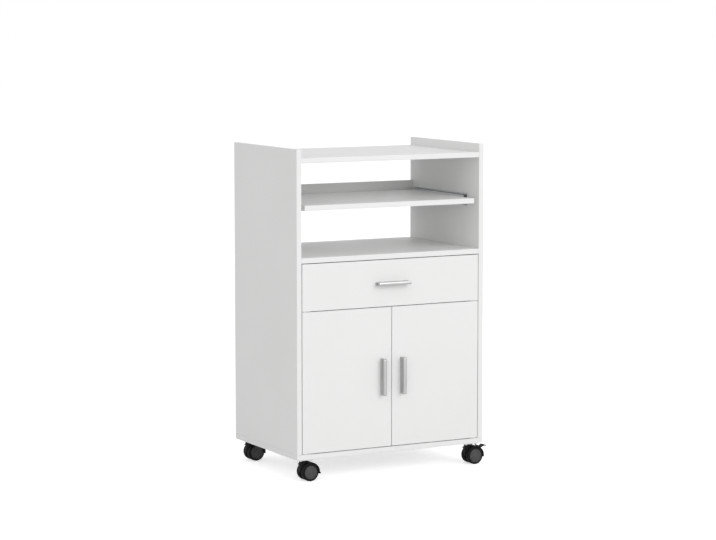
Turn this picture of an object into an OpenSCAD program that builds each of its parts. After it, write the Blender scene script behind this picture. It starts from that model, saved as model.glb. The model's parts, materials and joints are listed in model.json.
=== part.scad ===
// Microwave cart: a board cabinet on four twin-wheel casters, with an open niche and its
// pull-out shelf, a drawer and a two-door cupboard. All sizes are in millimetres.
// X runs to the right, Y to the back and Z up from the floor.

/* [Cabinet] */
// Width over the two side panels
cabinet_w = 600; // [520:5:760]
// Depth of the side panels, front edge to back edge
cabinet_d = 400; // [390:5:480]
// Thickness of every coated board
board_t = 15; // [15:0.5:18]
// How far the side panels stand above the top board
gallery_h = 24; // [10:1:60]
// Clear height of the open niche
niche_h = 262; // [220:2:340]
// Thickness of the back panel
back_t = 3; // [2.5:0.5:4]
// Distance from the back edge of the boards to the back panel's groove
back_inset = 8; // [6:1:15]
// Height of the rail across the back of the niche
rear_rail_h = 78; // [60:2:100]
// Top of the rear rail above the pull-out shelf
rear_rail_rise = 27; // [15:1:40]

/* [Fronts] */
// Height of the two doors
door_h = 398; // [360:2:460]
// Height of the drawer front
drawer_front_h = 132; // [127:1:180]
// Gap all round each front
front_gap = 2; // [2:0.5:3]

/* [Divider rail] */
// Depth of the rail between the cupboard and the drawer
divider_d = 90; // [80:2:110]
// How far the rail hangs below the top edge of the doors
divider_overlap = 5; // [4:0.5:6]
// Space between the back of the fronts and the rail
divider_play = 0.8; // [0.5:0.1:2]

/* [Cupboard shelf] */
// Underside of the cupboard shelf above the bottom board
cupboard_shelf_z = 185; // [140:1:230]
// Front edge of the cupboard shelf behind the cabinet's front
cupboard_shelf_inset = 30; // [25:1:60]
// Pitch of the shelf pin holes
pin_pitch = 32; // [25:1:40]

/* [Pull-out shelf] */
// Underside of the pull-out shelf above the niche floor
shelf_z = 130; // [100:1:160]
// Front edge of the pull-out shelf behind the cabinet's front
shelf_inset = 5; // [3:1:20]
// Gap between the pull-out shelf and the rear rail
shelf_back_gap = 10; // [4:1:30]

/* [Drawer box] */
// Height of the drawer's sides
drawer_side_h = 92; // [80:1:94]
// Thickness of the drawer's sides and back
drawer_side_t = 12; // [12:0.5:15]
// Gap between the drawer's sides and the back panel
drawer_back_gap = 24; // [14:1:48]
// Underside of the drawer's sides above the divider rail
drawer_lift = 12; // [8:1:16]
// Thickness of the drawer's bottom
drawer_bottom_t = 3; // [2.5:0.5:4]

/* [Ball bearing slides] */
// Length of each slide
slide_l = 300; // [280:5:310]
// Height of the fixed rail
slide_h = 35; // [34:0.5:37]
// Space that a slide fills between its panel and what it carries
slide_t = 12.5; // [12.5:0.1:13]
// Sheet thickness of the slides
slide_sheet = 1.2; // [1:0.1:1.4]
// Gap between the shelf's slides and the rear rail
shelf_slide_back_gap = 19; // [10:1:45]
// Front end of the drawer's slides behind the cabinet's front
drawer_slide_inset = 20; // [18:1:40]
// Radius of the bearing balls
ball_r = 1.6; // [1.4:0.1:1.7]
// Balls in one row of a cage
balls_per_row = 5; // [3:1:5]
// Length of each ball cage
cage_l = 72; // [66:1:75]
// How far the drawer and the shelf pull out
pull_out = 225; // [150:5:225]

/* [Handles] */
// Distance between a handle's two screws
handle_pitch = 96; // [64:1:128]
// Length of a handle beyond each of its screws
handle_over = 4.5; // [4:0.5:12]
// Width of a handle
handle_w = 9; // [8:0.5:16]
// How far a handle stands in front of the fronts
handle_out = 23; // [20:0.5:30]
// Radius of a handle's crowned front
handle_crown = 10; // [8:0.5:30]
// Depth of the finger scoop along each flank of a handle
handle_scoop = 1.5; // [0.8:0.1:1.7]
// Handle centre line from the free edge of its door
handle_edge = 31; // [20:1:60]
// Top screw of a door handle below the door's top edge
handle_drop = 149; // [60:1:200]

/* [Door pivots] */
// Pivot pin from the hinged edge of the door
pivot_side = 9; // [9:0.5:12]
// Pivot pin behind the front face of the door
pivot_back = 5; // [5:0.25:6]
// Radius of the pivot pins
pivot_r = 2.5; // [2:0.25:2.5]
// Thickness of the pivot plates
pivot_plate_t = 1; // [0.8:0.1:1]
// Length of the pivot pins above their plates
pivot_pin_l = 12; // [8:0.5:14]

/* [Casters] */
// Underside of the cabinet above the floor
caster_h = 63; // [61:0.5:70]
// Radius of the wheels
wheel_r = 25; // [22:0.5:25]
// Width of one wheel
wheel_w = 16.5; // [14:0.5:20]
// Thickness of the hood's core between the wheels
core_t = 8; // [7:0.5:10]
// Distance from the swivel to the wheel axle
trail = 14; // [12:0.5:18]
// Swivel from the outer face of the side panel
caster_inset_x = 32; // [30:0.5:60]
// Swivel from the front and back edges of the cabinet
caster_inset_y = 27; // [26:0.5:60]
// Side of the square mounting plate
plate_side = 42; // [40:1:50]
// Tip of the brake lever from the wheel axle
lever_reach = 43; // [40:0.5:48]
// Width of the brake lever
lever_w = 20; // [14:0.5:28]

/* [Hidden] */
$fn = 64;
white = "#f0f0ef";
white_side = "#e4e4e3";
silver = "#b9bab8";
zinc = "#9fa1a3";
steel = "#c3c4c6";
black = "#1c1c1d";
dark_grey = "#4b4b4c";
birch = "#d8bf94";
hardboard = "#efeeec";
nylon = "#e8e6df";

// clearances
fit = 0.05; // running fit, radial
seat = 0.02; // pressed or glued seat, radial
hole_end = 0.5; // spare depth at the end of a blind hole
slip = 0.3; // gap between parts that slide past each other

// levels above the floor
base_z = caster_h;
floor_z = base_z + board_t;
door_z = floor_z + front_gap;
door_top = door_z + door_h;
drawer_front_z = door_top + front_gap;
niche_z = drawer_front_z + drawer_front_h + front_gap;
niche_floor = niche_z + board_t;
top_z = niche_floor + niche_h;
side_top = top_z + board_t + gallery_h;
shelf_low = niche_floor + shelf_z;
shelf_mid = shelf_low + board_t / 2;
shelf_top = shelf_low + board_t;
rear_rail_top = shelf_top + rear_rail_rise;

// widths; X is measured from the cabinet's middle
half_w = cabinet_w / 2;
inner_x = half_w - board_t;
carried_w = 2 * (inner_x - slide_t);
drawer_front_w = 2 * (inner_x - front_gap);
door_w = inner_x - 1.5 * front_gap;

// the origin is the middle of the whole cart's box
lever_over = trail + lever_reach - caster_inset_x;
shift_x = -lever_over / 2;
shift_y = -(cabinet_d - handle_out) / 2;

// board joints
dowel_r = 4;
dowel_l = 30;
dowel_in_panel = 10;
cam_r = 7.5;
cam_depth = 12;
cam_from_end = 24;
cam_slot_w = 1.6;
cam_slot_l = 9;
cam_slot_depth = 2;
cam_bolt_r = 3.5;
cam_bolt_in_panel = 10;
deck_cam_edge = 60;
deck_dowel_edge = 92;
deck_cam_y = [deck_cam_edge, cabinet_d - deck_cam_edge];
deck_dowel_y = [deck_dowel_edge, cabinet_d - deck_dowel_edge];
base_screw_edge = 75;
base_screw_y = [base_screw_edge, cabinet_d / 2, cabinet_d - base_screw_edge];
base_screw_r = 2.5;
base_screw_l = 50;
base_head_r = 5;
base_head_h = 4;
base_socket_r = 2.5;
base_socket_depth = 2.5;

// divider rail
divider_y = board_t + divider_play;
divider_z = door_top - divider_overlap;
notch_x = 40;
notch_y = 46;
divider_dowel_in = 46;
divider_cam_in = 68;
divider_dowel_y = divider_y + divider_dowel_in;
divider_cam_y = divider_y + divider_cam_in;

// rear rail
rear_rail_y = cabinet_d - board_t;
rear_rail_mid = rear_rail_top - rear_rail_h / 2;
rear_dowel_dz = 22;
shelf_d = rear_rail_y - shelf_back_gap - shelf_inset;

// back panel and its grooves
groove_play = 0.1;
groove_side = 6;
groove_board = 5;
back_side = 5;
back_y = cabinet_d - back_inset - back_t;

// shelf pins
pin_r = 2.5;
pin_in = 8;
pin_out = 9;
pin_row_front = 34;
pin_row_back = 46;
pin_rows = [cupboard_shelf_inset + pin_row_front, back_y - pin_row_back];
pin_steps = [-2:2];
cupboard_shelf_low = floor_z + cupboard_shelf_z;
shelf_side_play = 0.5;
shelf_back_play = 2;
cupboard_shelf_d = back_y - shelf_back_play - cupboard_shelf_inset;

// slides, measured from the middle of their height
shelf_slide_inset = rear_rail_y - shelf_slide_back_gap - slide_l;
race_play = 0.2;
race_gap = 2 * (ball_r + race_play);
rail_in = slide_h / 2 - slide_sheet;
ball_v = rail_in - race_gap / 2;
runner_v = rail_in - race_gap;
rail_flange = 9.5;
rail_lip = 0.9;
runner_edge = 3.2;
ball_u = 6;
cage_t = 0.6;
cage_gap = 0.4;
cage_u = slide_sheet + cage_gap;
cage_lip_u = 7.9;
cage_end = 6;
ball_play = 0.15;
drawer_low = divider_z + board_t + drawer_lift;
drawer_slide_up = 46;
drawer_slide_z = drawer_low + drawer_slide_up;
rail_screw_end = 35;
rail_screw_y = [rail_screw_end, slide_l / 2, slide_l - rail_screw_end];
runner_screw_end = 18;
runner_screw_y = [runner_screw_end, slide_l - runner_screw_end];
runner_screw_l = 10;
screw_r = 1.5;
screw_l = 12;
screw_head_r = 3;

// drawer box
drawer_side_l = back_y - drawer_back_gap - board_t;
drawer_groove = 5;
drawer_groove_up = 8;
drawer_inner_x = carried_w / 2 - drawer_side_t;
drawer_back_y = board_t + drawer_side_l - drawer_side_t;
drawer_bottom_z = drawer_low + drawer_groove_up;

// handles
handle_l = handle_pitch + 2 * handle_over;
handle_corner = 4;
handle_scoop_r = 16;
handle_scoop_out = 8;
handle_screw_r = 1.95;
handle_screw_in = 12;
handle_head_r = 4.2;
handle_head_h = 2.4;
handle_hole_play = 0.3;
door_handle_x = front_gap / 2 + handle_edge;
door_handle_z = door_top - handle_drop - handle_pitch / 2;
drawer_handle_z = drawer_front_z + drawer_front_h / 2;

// door pivots
pivot_x = inner_x - front_gap - pivot_side;
bush_wall = 1.5;
bush_r = pivot_r + fit + bush_wall;
bush_end = 1;
bush_depth = pivot_pin_l + hole_end + bush_end;
bush_flange_over = 0.4;
bush_flange_r = bush_r + bush_flange_over;
bush_flange_t = 0.8;
bush_play = 0.1;
plate_gap = bush_flange_t + bush_play;
lower_flange_t = front_gap - pivot_plate_t - bush_play;
plate_x = 26;
plate_y = 43;
plate_front = 1;
plate_screw_y = [26, 36];
plate_screw_x = 17;
plate_screw_l = 6;

// magnetic catch
catch_w = 46;
catch_d = 22;
catch_h = 13;
magnet_w = 12;
magnet_h = 8;
magnet_d = 3;
strike_w = 14;
strike_h = 12;
strike_t = 1.4;
catch_x = 12;
catch_y = board_t + strike_t + slip;
catch_z = divider_z - catch_h;
strike_drop = 0.5;
strike_z = catch_z + catch_h / 2 - strike_drop;

// casters, measured from the swivel axis
axle_z = wheel_r;
axle_r = 3;
wheel_gap = 0.75;
wheel_edge = 3;
wheel_bore_l = 12;
hub_r = 8;
disc_edge = 6;
disc_r = wheel_r - disc_edge;
disc_step = 0.8;
wheel_in = core_t / 2 + wheel_gap;
hood_w = 2 * (wheel_in + wheel_w);
guard_gap = 1;
guard_t = 2.5;
guard_lip_out = 2.5;
guard_in = wheel_r + guard_gap;
guard_out = guard_in + guard_t;
guard_lip = guard_out + guard_lip_out;
guard_lip_a = 9;
guard_back = -10;
guard_front = 138;
boss_r = 12;
plate_t = 2.5;
race_r = 13;
race_t = 1.7;
boss_top = base_z - plate_t - race_t - slip;
kingpin_r = 4;
kingpin_l = 11;
plate_hole_edge = 5;
plate_hole = plate_side / 2 - plate_hole_edge;
caster_screw_r = 2;
caster_screw_cover = 1;
caster_screw_l = board_t - groove_board - caster_screw_cover;
caster_head_r = 3.8;
caster_head_h = 2;

// brake lever, measured from the wheel axle
lever_pivot = [15, 15];
lever_pin_r = 2;
lever_eye_r = 4.5;
lever_t = 3;
lever_tongue = 3;
lever_slot = 3.8;
lever_gap = 0.8;
lever_low = guard_out + lever_gap;
lever_slot_low_a = 24;
lever_slot_high_a = 16;
lever_slot_web = 3;
lever_in_a = 60;
lever_out_a = 40;
lever_rise = [34, 27.5];
lever_tip_z = 25.5;
lever_arc = [lever_in_a:-4:lever_out_a];

caster_at = [[-1, 0], [1, 0], [-1, 1], [1, 1]];

// ---------- placing ----------

// Moves the cart so that the origin lies under the middle of its whole box
module on_floor() {
  translate([shift_x, shift_y, 0])
    children();
}

// Draws its children once for the left half and once for the right half
module both_sides() {
  for (side = [-1, 1])
    on_side(side) children();
}

module on_side(side) {
  if (side < 0)
    mirror([1, 0, 0]) children();
  else
    children();
}

// A box between two corners
module block(low, high) {
  translate(low)
    cube(high - low);
}

// A rod along X from x to x + l
module rod_x(x, y, z, r, l) {
  translate([x, y, z])
    rotate([0, 90, 0])
      cylinder(r = r, h = l);
}

// A rod along Y from y to y + l
module rod_y(x, y, z, r, l) {
  translate([x, y, z])
    rotate([-90, 0, 0])
      cylinder(r = r, h = l);
}

// A rod along Z from z to z + l
module rod_z(x, y, z, r, l) {
  translate([x, y, z])
    cylinder(r = r, h = l);
}

// ---------- board joints: holes and what fills them ----------

// Dowels on the right half; grow is the play round each one
module dowel_rods(y, z, grow) {
  rod_x(inner_x - dowel_l + dowel_in_panel - grow * hole_end / seat, y, z, dowel_r + grow,
    dowel_l + 2 * grow * hole_end / seat);
}

module all_dowels(grow) {
  for (y = deck_dowel_y, z = [niche_z, top_z])
    dowel_rods(y, z + board_t / 2, grow);
  dowel_rods(divider_dowel_y, divider_z + board_t / 2, grow);
  for (dz = [-rear_dowel_dz, rear_dowel_dz])
    dowel_rods(rear_rail_y + board_t / 2, rear_rail_mid + dz, grow);
}

// Holes for the dowels, cam bolts and cams of a deck board at height z
module deck_holes(ys, z) {
  for (y = ys) {
    rod_x(inner_x - cam_from_end, y, z + board_t / 2, cam_bolt_r + fit,
      cam_from_end + cam_bolt_in_panel + hole_end);
    rod_z(inner_x - cam_from_end, y, z - 1, cam_r + seat, cam_depth + 1);
  }
}

module rear_rail_holes() {
  rod_x(inner_x - cam_from_end, rear_rail_y + board_t / 2, rear_rail_mid, cam_bolt_r + fit,
    cam_from_end + cam_bolt_in_panel + hole_end);
  rod_y(inner_x - cam_from_end, cabinet_d - cam_depth, rear_rail_mid, cam_r + seat, cam_depth + 1);
}

// Every hole of the board joints on the right half
module joint_holes() {
  all_dowels(seat);
  deck_holes(deck_cam_y, niche_z);
  deck_holes(deck_cam_y, top_z);
  deck_holes([divider_cam_y], divider_z);
  rear_rail_holes();
}

// One cam: a slotted disc with a side hole for its bolt; the slot faces -Z
module cam() {
  difference() {
    cylinder(r = cam_r, h = cam_depth);
    translate([-cam_slot_l / 2, -cam_slot_w / 2, -1])
      cube([cam_slot_l, cam_slot_w, cam_slot_depth + 1]);
    translate([-cam_slot_w / 2, -cam_slot_l / 2, -1])
      cube([cam_slot_w, cam_slot_l, cam_slot_depth + 1]);
    rod_x(0, 0, board_t / 2, cam_bolt_r + fit, cam_r + 1);
  }
}

module cam_and_bolt() {
  cam();
  rod_x(fit, 0, board_t / 2, cam_bolt_r, cam_from_end + cam_bolt_in_panel - fit);
}

// ---------- side panels ----------

// The groove that holds the back panel's side edge
module back_groove() {
  block([inner_x - 1, back_y - groove_play, floor_z - groove_board - 1],
    [inner_x + groove_side, back_y + back_t + groove_play, niche_z + groove_board]);
}

// Rows of blind holes for the shelf pins
module pin_holes() {
  for (y = pin_rows, step = pin_steps)
    rod_x(inner_x - 1, y, cupboard_shelf_low - pin_r + step * pin_pitch, pin_r + fit,
      pin_in + 1 + hole_end);
}

// Pilot holes of the slide screws
module rail_screw_holes(y0, z) {
  for (y = rail_screw_y)
    rod_x(inner_x - 1, y0 + y, z, screw_r + seat, screw_l + 1);
}

module base_screw_holes() {
  for (y = base_screw_y) {
    rod_z(half_w - board_t / 2, y, base_z - 1, base_screw_r + seat, base_screw_l + 1 + hole_end);
    rod_z(half_w - board_t / 2, y, base_z - 1, base_head_r + seat, base_head_h + 1);
  }
}

module side_panel() {
  difference() {
    block([inner_x, 0, floor_z], [half_w, cabinet_d, side_top]);
    back_groove();
    joint_holes();
    pin_holes();
    rail_screw_holes(shelf_slide_inset, shelf_mid);
    rail_screw_holes(drawer_slide_inset, drawer_slide_z);
    base_screw_holes();
  }
}

module left_side_panel() {
  color(white_side) on_floor() on_side(-1) side_panel();
}

module right_side_panel() {
  color(white_side) on_floor() on_side(1) side_panel();
}

// ---------- boards between the side panels ----------

module top_board() {
  color(white) on_floor()
    difference() {
      block([-inner_x, 0, top_z], [inner_x, cabinet_d, top_z + board_t]);
      both_sides() joint_holes();
    }
}

module niche_floor_board() {
  color(white) on_floor()
    difference() {
      block([-inner_x, 0, niche_z], [inner_x, cabinet_d, niche_floor]);
      both_sides() joint_holes();
      block([-inner_x - 1, back_y - groove_play, niche_z - 1],
        [inner_x + 1, back_y + back_t + groove_play, niche_z + groove_board]);
    }
}

module bottom_board() {
  color(white) on_floor()
    difference() {
      block([-half_w, 0, base_z], [half_w, cabinet_d, floor_z]);
      block([-inner_x - groove_side, back_y - groove_play, floor_z - groove_board],
        [inner_x + groove_side, back_y + back_t + groove_play, floor_z + 1]);
      both_sides() {
        base_screw_holes();
        for (y = [caster_inset_y, cabinet_d - caster_inset_y])
          translate([half_w - caster_inset_x, y, 0]) caster_screw_rods(seat);
      }
      both_sides() plate_screw_rods(floor_z, -1, seat);
    }
}

module divider_rail() {
  color(white) on_floor()
    difference() {
      block([-inner_x, divider_y, divider_z], [inner_x, divider_y + divider_d, divider_z + board_t]);
      both_sides() {
        joint_holes();
        block([inner_x - notch_x, divider_y - 1, divider_z - 1],
          [inner_x + 1, notch_y, door_top + plate_gap + pivot_plate_t]);
        plate_screw_rods(door_top + plate_gap + pivot_plate_t, 1, seat);
      }
    }
}

module rear_rail() {
  color(white) on_floor()
    difference() {
      block([-inner_x, rear_rail_y, rear_rail_top - rear_rail_h], [inner_x, cabinet_d, rear_rail_top]);
      both_sides() joint_holes();
    }
}

module back_panel() {
  color(hardboard) on_floor()
    block([-inner_x - back_side, back_y, floor_z - groove_board],
      [inner_x + back_side, back_y + back_t, niche_z + groove_board - hole_end]);
}

module cupboard_shelf() {
  color(white) on_floor()
    block([-inner_x + shelf_side_play, cupboard_shelf_inset, cupboard_shelf_low],
      [inner_x - shelf_side_play, cupboard_shelf_inset + cupboard_shelf_d, cupboard_shelf_low + board_t]);
}

module shelf_pins() {
  color(zinc) on_floor() both_sides()
    for (y = pin_rows)
      rod_x(inner_x - pin_out, y, cupboard_shelf_low - pin_r, pin_r, pin_in + pin_out);
}

module dowels() {
  color(birch) on_floor() both_sides() all_dowels(0);
}

module cam_fittings() {
  color(zinc) on_floor() both_sides() {
    for (y = deck_cam_y, z = [niche_z, top_z])
      translate([inner_x - cam_from_end, y, z]) cam_and_bolt();
    translate([inner_x - cam_from_end, divider_cam_y, divider_z]) cam_and_bolt();
    translate([inner_x - cam_from_end, cabinet_d, rear_rail_mid])
      rotate([90, 0, 0]) cam_and_bolt();
  }
}

// Long screws from below through the bottom board into the side panels
module base_screws() {
  color(zinc) on_floor() both_sides()
    for (y = base_screw_y)
      translate([half_w - board_t / 2, y, base_z])
        difference() {
          union() {
            cylinder(r = base_head_r, h = base_head_h);
            cylinder(r = base_screw_r, h = base_screw_l);
          }
          translate([0, 0, -1]) cylinder(r = base_socket_r, h = base_socket_depth + 1, $fn = 6);
        }
}

// ---------- ball bearing slides ----------
// Drawn for the right side: u runs from the side panel towards the middle.

// The rail's cross-section along its length, screwed to the side panel
module slide_rail(y0, z) {
  difference() {
    translate([inner_x, y0, z])
      for (v = [-1, 1])
        scale_v(v) {
          block([-slide_sheet, 0, -1], [0, slide_l, slide_h / 2]);
          block([-rail_flange, 0, rail_in], [0, slide_l, slide_h / 2]);
          block([-rail_flange, 0, rail_in - rail_lip], [-rail_flange + slide_sheet, slide_l, rail_in]);
        }
    for (y = rail_screw_y)
      rod_x(inner_x - slide_sheet - 1, y0 + y, z, screw_head_r + seat, slide_sheet + 2);
  }
}

// Mirrors its children top to bottom where v is negative
module scale_v(v) {
  if (v < 0)
    mirror([0, 0, 1]) children();
  else
    children();
}

// The runner slides inside the rail, screwed to what it carries
module slide_runner(y0, z) {
  difference() {
    translate([inner_x, y0, z])
      for (v = [-1, 1])
        scale_v(v) {
          block([-slide_t, 0, -1], [-slide_t + slide_sheet, slide_l, runner_v]);
          block([-slide_t, 0, runner_v - slide_sheet], [-runner_edge, slide_l, runner_v]);
        }
    for (y = runner_screw_y)
      rod_x(inner_x - slide_t - 1, y0 + y, z, screw_head_r + seat, slide_sheet + 2);
  }
}

// Screws through the runner into the edge or side that it carries
module runner_screws(y0, z) {
  for (y = runner_screw_y) {
    rod_x(inner_x - slide_t, y0 + y, z, screw_head_r, slide_sheet);
    rod_x(inner_x - slide_t - runner_screw_l, y0 + y, z, screw_r, runner_screw_l + slide_sheet / 2);
  }
}

// Pilot holes of the runner screws
module runner_screw_holes(y0, z) {
  for (y = runner_screw_y)
    rod_x(inner_x - slide_t - runner_screw_l - hole_end, y0 + y, z, screw_r + seat,
      runner_screw_l + hole_end + 1);
}

// The cage holds two rows of balls and travels half as far as the runner
module ball_cage(y0, z) {
  ball_step = (cage_l - 2 * cage_end) / (balls_per_row - 1);
  translate([inner_x, y0 + (slide_l - cage_l) / 2, z])
    for (v = [-1, 1])
      scale_v(v) {
        difference() {
          union() {
            block([-cage_u - cage_t, 0, -1], [-cage_u, cage_l, ball_v + cage_t / 2]);
            block([-cage_lip_u, 0, ball_v - cage_t / 2], [-cage_u, cage_l, ball_v + cage_t / 2]);
          }
          for (i = [0:balls_per_row - 1])
            rod_z(-ball_u, cage_end + i * ball_step, ball_v - 1, ball_r + ball_play, 2);
        }
        for (i = [0:balls_per_row - 1])
          translate([-ball_u, cage_end + i * ball_step, ball_v]) sphere(r = ball_r);
      }
}

// Countersunk screws flush with the rail
module slide_screws(y0, z) {
  for (y = rail_screw_y) {
    rod_x(inner_x - slide_sheet, y0 + y, z, screw_head_r, slide_sheet);
    rod_x(inner_x - slide_sheet / 2, y0 + y, z, screw_r, screw_l);
  }
}

module shelf_slide_rails() {
  color(zinc) on_floor() both_sides() slide_rail(shelf_slide_inset, shelf_mid);
}

module drawer_slide_rails() {
  color(zinc) on_floor() both_sides() slide_rail(drawer_slide_inset, drawer_slide_z);
}

module shelf_slide_runners() {
  color(zinc) on_floor() both_sides() slide_runner(shelf_slide_inset, shelf_mid);
}

module drawer_slide_runners() {
  color(zinc) on_floor() both_sides() slide_runner(drawer_slide_inset, drawer_slide_z);
}

module shelf_ball_cages() {
  color(steel) on_floor() both_sides() ball_cage(shelf_slide_inset, shelf_mid);
}

module drawer_ball_cages() {
  color(steel) on_floor() both_sides() ball_cage(drawer_slide_inset, drawer_slide_z);
}

// ---------- door pivots ----------

// A flat plate with its pin, drawn for the right side with the pin pointing up
module hinge_plate() {
  difference() {
    union() {
      block([inner_x - plate_x, plate_front, 0], [inner_x, plate_y, pivot_plate_t]);
      rod_z(pivot_x, pivot_back, 0, pivot_r, pivot_plate_t + pivot_pin_l);
    }
    for (y = plate_screw_y)
      rod_z(inner_x - plate_screw_x, y, -1, screw_head_r + seat, pivot_plate_t + 2);
  }
}

// The shanks of a plate's screws: way is 1 where they point up and -1 where they point down
module plate_screw_rods(z, way, grow) {
  for (y = plate_screw_y)
    translate([inner_x - plate_screw_x, y, z])
      scale_v(way)
        rod_z(0, 0, -pivot_plate_t / 2, screw_r + grow, pivot_plate_t / 2 + plate_screw_l);
}

module plate_screws(z, way) {
  plate_screw_rods(z, way, 0);
  for (y = plate_screw_y)
    translate([inner_x - plate_screw_x, y, z])
      scale_v(way) rod_z(0, 0, -pivot_plate_t, screw_head_r, pivot_plate_t);
}

module hinge_plates() {
  color(zinc) on_floor() both_sides() {
    translate([0, 0, floor_z]) hinge_plate();
    translate([0, 0, door_top + plate_gap + pivot_plate_t]) mirror([0, 0, 1]) hinge_plate();
  }
}

// Every screw that holds a slide rail, a pivot plate or a caster to the cabinet
module hardware_screws() {
  color(steel) on_floor() {
    both_sides() {
      slide_screws(shelf_slide_inset, shelf_mid);
      slide_screws(drawer_slide_inset, drawer_slide_z);
      plate_screws(floor_z, -1);
      plate_screws(door_top + plate_gap + pivot_plate_t, 1);
    }
    for (i = [0:3])
      at_caster(i) caster_screws();
  }
}

// A flanged bush in the door's edge, drawn with its flange below
module hinge_bush(flange_t) {
  difference() {
    union() {
      rod_z(pivot_x, pivot_back, -flange_t, bush_flange_r, flange_t);
      rod_z(pivot_x, pivot_back, 0, bush_r, bush_depth);
    }
    rod_z(pivot_x, pivot_back, -flange_t - 1, pivot_r + fit, flange_t + 1 + bush_depth - bush_end);
  }
}

module hinge_bushes() {
  translate([0, 0, door_z]) hinge_bush(lower_flange_t);
  translate([0, 0, door_top]) mirror([0, 0, 1]) hinge_bush(bush_flange_t);
}

// ---------- doors ----------

module door_panel() {
  difference() {
    block([inner_x - front_gap - door_w, 0, door_z], [inner_x - front_gap, board_t, door_top]);
    for (z = [door_z - 1, door_top - bush_depth])
      rod_z(pivot_x, pivot_back, z, bush_r + seat, bush_depth + 1);
    for (dz = [-1, 1])
      rod_y(door_handle_x, -1, door_handle_z + dz * handle_pitch / 2,
        handle_screw_r + handle_hole_play, board_t + 2);
  }
}

module strike_plate() {
  block([catch_x - strike_w / 2, board_t, strike_z - strike_h / 2],
    [catch_x + strike_w / 2, board_t + strike_t, strike_z + strike_h / 2]);
}

module door_handle() {
  translate([door_handle_x, 0, door_handle_z])
    rotate([0, 90, 0]) pull_handle();
}

module door_handle_screws() {
  translate([door_handle_x, 0, door_handle_z])
    rotate([0, 90, 0]) pull_screws();
}

module left_door() {
  color(white) on_floor() on_side(-1) door_panel();
}

module left_door_handle() {
  color(silver) on_floor() on_side(-1) door_handle();
}

module left_handle_screws() {
  color(zinc) on_floor() on_side(-1) door_handle_screws();
}

module left_hinge_bushes() {
  color(nylon) on_floor() on_side(-1) hinge_bushes();
}

module left_strike_plate() {
  color(steel) on_floor() on_side(-1) strike_plate();
}

module right_door() {
  color(white) on_floor() door_panel();
}

module right_door_handle() {
  color(silver) on_floor() door_handle();
}

module right_handle_screws() {
  color(zinc) on_floor() door_handle_screws();
}

module right_hinge_bushes() {
  color(nylon) on_floor() hinge_bushes();
}

module right_strike_plate() {
  color(steel) on_floor() strike_plate();
}

// A catch under the divider rail, with one magnet for each door
module magnetic_catch() {
  color(nylon) on_floor() {
    difference() {
      block([-catch_w / 2, catch_y, catch_z], [catch_w / 2, catch_y + catch_d, divider_z]);
      for (x = [-catch_x, catch_x])
        block([x - magnet_w / 2, catch_y - 1, strike_z - magnet_h / 2],
          [x + magnet_w / 2, catch_y + magnet_d, strike_z + magnet_h / 2]);
    }
    for (x = [-catch_x, catch_x])
      block([x - magnet_w / 2, catch_y, strike_z - magnet_h / 2],
        [x + magnet_w / 2, catch_y + magnet_d, strike_z + magnet_h / 2]);
  }
}

// ---------- handle ----------
// It lies along X, with its foot on the plane Y = 0 and its front towards -Y.

// The handle seen from the side: X along it, Y how far it stands out
module pull_side() {
  translate([-handle_l / 2, 0]) square([handle_l, handle_out - handle_corner]);
  translate([-handle_l / 2 + handle_corner, 0])
    square([handle_l - 2 * handle_corner, handle_out]);
  for (x = [-1, 1])
    translate([x * (handle_l / 2 - handle_corner), handle_out - handle_corner])
      circle(r = handle_corner);
}

// The handle seen from its end: X across it, Y how far it stands out. The front is crowned,
// and a shallow scoop runs along each flank for the fingertips.
module pull_end() {
  difference() {
    union() {
      translate([-handle_w / 2, 0]) square([handle_w, handle_out - handle_crown]);
      intersection() {
        translate([-handle_w / 2, 0]) square([handle_w, handle_out]);
        translate([0, handle_out - handle_crown]) circle(r = handle_crown);
      }
    }
    for (x = [-1, 1])
      translate([x * (handle_w / 2 - handle_scoop + handle_scoop_r), handle_scoop_out])
        circle(r = handle_scoop_r);
  }
}

module pull_handle() {
  difference() {
    intersection() {
      rotate([180, 0, 0])
        translate([0, 0, -handle_w / 2]) linear_extrude(handle_w) pull_side();
      rotate([90, 0, 90])
        translate([0, 0, -handle_l / 2 - 1])
          linear_extrude(handle_l + 2) rotate([0, 0, 90]) pull_end();
    }
    for (x = [-1, 1])
      rod_y(x * handle_pitch / 2, -handle_screw_in - hole_end, 0, handle_screw_r + fit,
        handle_screw_in + hole_end + 1);
  }
}

module pull_screws() {
  for (x = [-1, 1]) {
    rod_y(x * handle_pitch / 2, -handle_screw_in, 0, handle_screw_r, handle_screw_in + board_t);
    rod_y(x * handle_pitch / 2, board_t, 0, handle_head_r, handle_head_h);
  }
}

// ---------- drawer ----------

module drawer_front() {
  color(white) on_floor()
    difference() {
      block([-drawer_front_w / 2, 0, drawer_front_z],
        [drawer_front_w / 2, board_t, drawer_front_z + drawer_front_h]);
      for (x = [-1, 1])
        rod_y(x * handle_pitch / 2, -1, drawer_handle_z, handle_screw_r + handle_hole_play, board_t + 2);
      drawer_bottom_groove();
    }
}

// The groove for the drawer's bottom runs out through the back ends of the sides
module drawer_bottom_groove() {
  block([-drawer_inner_x - drawer_groove, board_t - drawer_groove, drawer_bottom_z - groove_play],
    [drawer_inner_x + drawer_groove, drawer_back_y + drawer_side_t + 1,
      drawer_bottom_z + drawer_bottom_t + groove_play]);
}

module drawer_side() {
  difference() {
    block([drawer_inner_x, board_t, drawer_low],
      [carried_w / 2, board_t + drawer_side_l, drawer_low + drawer_side_h]);
    drawer_bottom_groove();
    runner_screw_holes(drawer_slide_inset, drawer_slide_z);
  }
}

module drawer_left_side() {
  color(white) on_floor() on_side(-1) drawer_side();
}

module drawer_right_side() {
  color(white) on_floor() drawer_side();
}

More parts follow.
